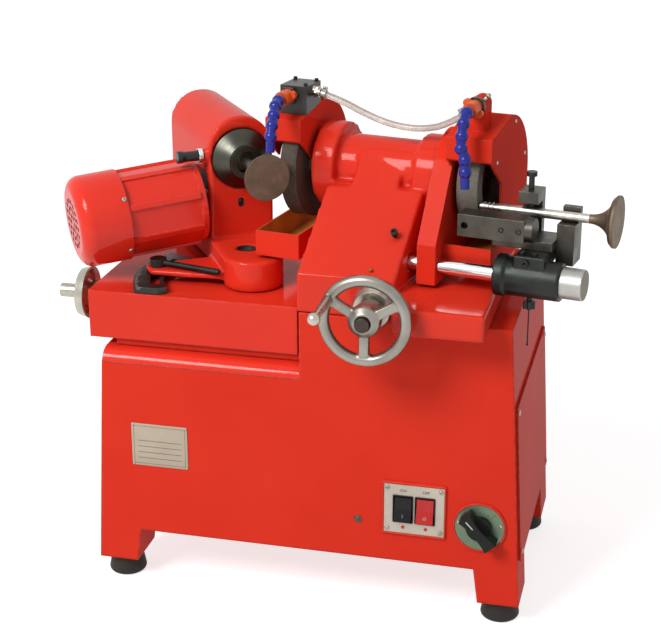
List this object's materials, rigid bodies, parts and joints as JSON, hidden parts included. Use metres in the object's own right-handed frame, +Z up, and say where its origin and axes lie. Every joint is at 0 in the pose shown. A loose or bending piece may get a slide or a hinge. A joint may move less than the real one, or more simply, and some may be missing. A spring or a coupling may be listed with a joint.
{
  "type": "bench valve refacer",
  "caption": "Bench machine that refaces engine valves: red cast cabinet, swivelling powered work head, twin-wheel grinding head on a cross slide, stem-end attachment and coolant hoses.",
  "frame": {"origin": "on the bench, under the middle of the cabinet", "axes": "+X to the operator's right along the cabinet's front, +Y to the back, +Z up"},
  "size_m": [0.6738, 0.4438, 0.6123],
  "materials": {
    "red_paint": "gloss red machine enamel",
    "foot_rubber": "moulded rubber",
    "plate_metal": "printed plate metal",
    "rotary_metal": "printed plate metal",
    "black_plastic": "moulded plastic",
    "red_plastic": "moulded plastic",
    "orange_plastic": "moulded plastic",
    "blue_plastic": "moulded plastic",
    "black_oxide": "blackened steel",
    "bright_steel": "turned steel",
    "bronze": "bronze",
    "handle_red": "moulded plastic",
    "bar_chrome": "hard chrome",
    "satin_steel": "satin knurled steel",
    "valve_steel": "heat-tinted valve steel",
    "chuck_metal": "ground grey metal",
    "abrasive": "bonded abrasive",
    "clear_hose": "clear tube",
    "belt_rubber": "belt rubber",
    "motor_grey": "grey enamel",
    "fan_plastic": "moulded plastic"
  },
  "bodies": {
    "base": {"base_cabinet": "red_paint", "side_cover": "red_paint", "rubber_feet": "foot_rubber", "switch_plate": "plate_metal", "rotary_plate": "rotary_metal", "slideways": "bright_steel", "feed_nuts": "bronze", "coolant_tank": "motor_grey", "coolant_pump": "motor_grey"},
    "black_rocker": {"black_rocker": "black_plastic"},
    "red_rocker": {"red_rocker": "red_plastic"},
    "rotary_knob": {"rotary_knob": "black_plastic"},
    "carriage": {"carriage_slab": "red_paint", "angle_sector": "black_oxide"},
    "traverse_wheel": {"traverse_wheel": "bright_steel", "traverse_screw": "bright_steel"},
    "workhead": {"workhead_casting": "red_paint", "work_bearings": "bright_steel", "motor_adapter": "red_paint", "motor_frame": "red_paint", "motor_cowl": "red_paint"},
    "work_spindle": {"work_spindle": "bright_steel", "worm_wheel": "bronze", "work_chuck": "chuck_metal", "work_valve": "valve_steel"},
    "motor_rotor": {"motor_rotor": "bright_steel", "motor_fan": "fan_plastic"},
    "index_plunger": {"index_plunger": "bright_steel"},
    "clamp_lever": {"clamp_lever": "black_oxide"},
    "wheelhead": {"wheelhead_casting": "red_paint", "spindle_bearings": "bright_steel", "left_guard": "red_paint", "right_guard": "red_paint", "left_tray": "red_paint", "right_tray": "red_paint", "attachment_bar": "bar_chrome", "coolant_block": "black_oxide", "hose_fittings": "bright_steel", "wheel_motor": "motor_grey", "drive_belt": "belt_rubber", "coolant_hose": "clear_hose"},
    "wheel_spindle": {"wheel_spindle": "bright_steel", "grinding_wheel": "abrasive", "cup_wheel": "abrasive"},
    "motor_pulley": {"motor_pulley": "bright_steel"},
    "front_handwheel": {"front_handwheel": "bright_steel", "feed_collar": "bright_steel", "feed_screw": "bright_steel"},
    "crank_handle": {"crank_handle": "handle_red"},
    "left_tap": {"left_tap": "orange_plastic"},
    "right_tap": {"right_tap": "orange_plastic"},
    "left_nozzle": {"left_nozzle": "blue_plastic"},
    "right_nozzle": {"right_nozzle": "blue_plastic"},
    "attachment": {"clamp_body": "black_oxide"},
    "stem_slide": {"v_block": "black_oxide", "stem_rest": "black_oxide", "stem_valve": "valve_steel"},
    "thumb_screw": {"thumb_screw": "black_oxide"},
    "micrometer_knob": {"micrometer_knob": "satin_steel"},
    "lock_knob": {"lock_knob": "black_oxide"}
  },
  "joints": [
    {"name": "black_rocker_swing", "type": "hinge", "parent": "base", "child": "black_rocker", "pos_m": [0.121, -0.141, 0.141], "axis": [1, 0, 0], "range_deg": [0, 10]},
    {"name": "red_rocker_swing", "type": "hinge", "parent": "base", "child": "red_rocker", "pos_m": [0.147, -0.141, 0.141], "axis": [1, 0, 0], "range_deg": [0, 10]},
    {"name": "rotary_turn", "type": "hinge", "parent": "base", "child": "rotary_knob", "pos_m": [0.211, -0.145, 0.128], "axis": [0, -1, 0], "range_deg": [0, 90]},
    {"name": "carriage_slide", "type": "slide", "parent": "base", "child": "carriage", "axis": [1, 0, 0], "range_m": [-0.12, 0]},
    {"name": "traverse_turn", "type": "hinge", "parent": "carriage", "child": "traverse_wheel", "pos_m": [-0.263, -0.06, 0.344], "axis": [1, 0, 0], "range_deg": [-8641, 1]},
    {"name": "workhead_swivel", "type": "hinge", "parent": "carriage", "child": "workhead", "pos_m": [-0.08, -0.062, 0.373], "axis": [0, 0, 1], "range_deg": [-5, 10]},
    {"name": "work_spin", "type": "hinge", "parent": "workhead", "child": "work_spindle", "pos_m": [-0.07181, -0.05626, 0.508], "axis": [0.5736, -0.8192, 0], "continuous": true},
    {"name": "rotor_spin", "type": "hinge", "parent": "workhead", "child": "motor_rotor", "pos_m": [-0.13031, 0.02729, 0.457], "axis": [-0.816, -0.5714, -0.0872], "continuous": true},
    {"name": "plunger_pull", "type": "slide", "parent": "workhead", "child": "index_plunger", "axis": [-0.8192, -0.5736, 0], "range_m": [0, 0.006], "stiffness_N_per_m": 200},
    {"name": "clamp_turn", "type": "hinge", "parent": "workhead", "child": "clamp_lever", "pos_m": [-0.19684, -0.06812, 0.3883], "axis": [0, 0, 1], "range_deg": [-60, 0]},
    {"name": "cross_feed", "type": "slide", "parent": "base", "child": "wheelhead", "axis": [0, 1, 0], "range_m": [-0.002, 0.05]},
    {"name": "wheel_spin", "type": "hinge", "parent": "wheelhead", "child": "wheel_spindle", "pos_m": [0.055, 0, 0.508], "axis": [0.9848, -0.1736, 0], "continuous": true},
    {"name": "drive_spin", "type": "hinge", "parent": "wheelhead", "child": "motor_pulley", "pos_m": [0.06485, -0.00174, 0.276], "axis": [0.9848, -0.1736, 0], "continuous": true},
    {"name": "handwheel_turn", "type": "hinge", "parent": "wheelhead", "child": "front_handwheel", "pos_m": [0.0875, -0.211, 0.395], "axis": [0, 1, 0], "range_deg": [-181, 4501]},
    {"name": "handle_turn", "type": "hinge", "parent": "front_handwheel", "child": "crank_handle", "pos_m": [0.0481, -0.211, 0.41775], "axis": [0, 1, 0], "continuous": true},
    {"name": "left_tap_turn", "type": "hinge", "parent": "wheelhead", "child": "left_tap", "pos_m": [-0.04197, -0.03164, 0.595], "axis": [-0.1736, -0.9848, 0], "range_deg": [0, 90]},
    {"name": "right_tap_turn", "type": "hinge", "parent": "wheelhead", "child": "right_tap", "pos_m": [0.17932, -0.0666, 0.602], "axis": [-0.1736, -0.9848, 0], "range_deg": [0, 90]},
    {"name": "left_nozzle_swing", "type": "hinge", "parent": "wheelhead", "child": "left_nozzle", "pos_m": [-0.04614, -0.05528, 0.595], "axis": [-0.1736, -0.9848, 0], "range_deg": [-15, 15]},
    {"name": "right_nozzle_swing", "type": "hinge", "parent": "wheelhead", "child": "right_nozzle", "pos_m": [0.17516, -0.09024, 0.602], "axis": [-0.1736, -0.9848, 0], "range_deg": [-15, 15]},
    {"name": "attachment_swing", "type": "hinge", "parent": "wheelhead", "child": "attachment", "pos_m": [0.21554, -0.11462, 0.427], "axis": [0.9848, -0.1736, 0], "range_deg": [0, 25]},
    {"name": "stem_feed", "type": "slide", "parent": "attachment", "child": "stem_slide", "axis": [0.9848, -0.1736, 0], "range_m": [-0.0005, 0.012]},
    {"name": "thumb_turn", "type": "hinge", "parent": "stem_slide", "child": "thumb_screw", "pos_m": [0.24513, -0.07922, 0.515], "axis": [0, 0, 1], "range_deg": [-180, 180]},
    {"name": "micrometer_turn", "type": "hinge", "parent": "attachment", "child": "micrometer_knob", "pos_m": [0.28841, -0.12747, 0.427], "axis": [0.9848, -0.1736, 0], "range_deg": [-181, 4321]},
    {"name": "lock_turn", "type": "hinge", "parent": "attachment", "child": "lock_knob", "pos_m": [0.25296, -0.12122, 0.4055], "axis": [0, 0, 1], "range_deg": [-90, 90]}
  ],
  "couplings": [
    {"joint": "traverse_turn", "follows": "carriage_slide", "rad_per_m": 1256.6},
    {"joint": "handwheel_turn", "follows": "cross_feed", "rad_per_m": 1570.8},
    {"joint": "drive_spin", "follows": "wheel_spin", "ratio": 0.6},
    {"joint": "rotor_spin", "follows": "work_spin", "ratio": 11.2},
    {"joint": "micrometer_turn", "follows": "stem_feed", "rad_per_m": 6283.2}
  ]
}
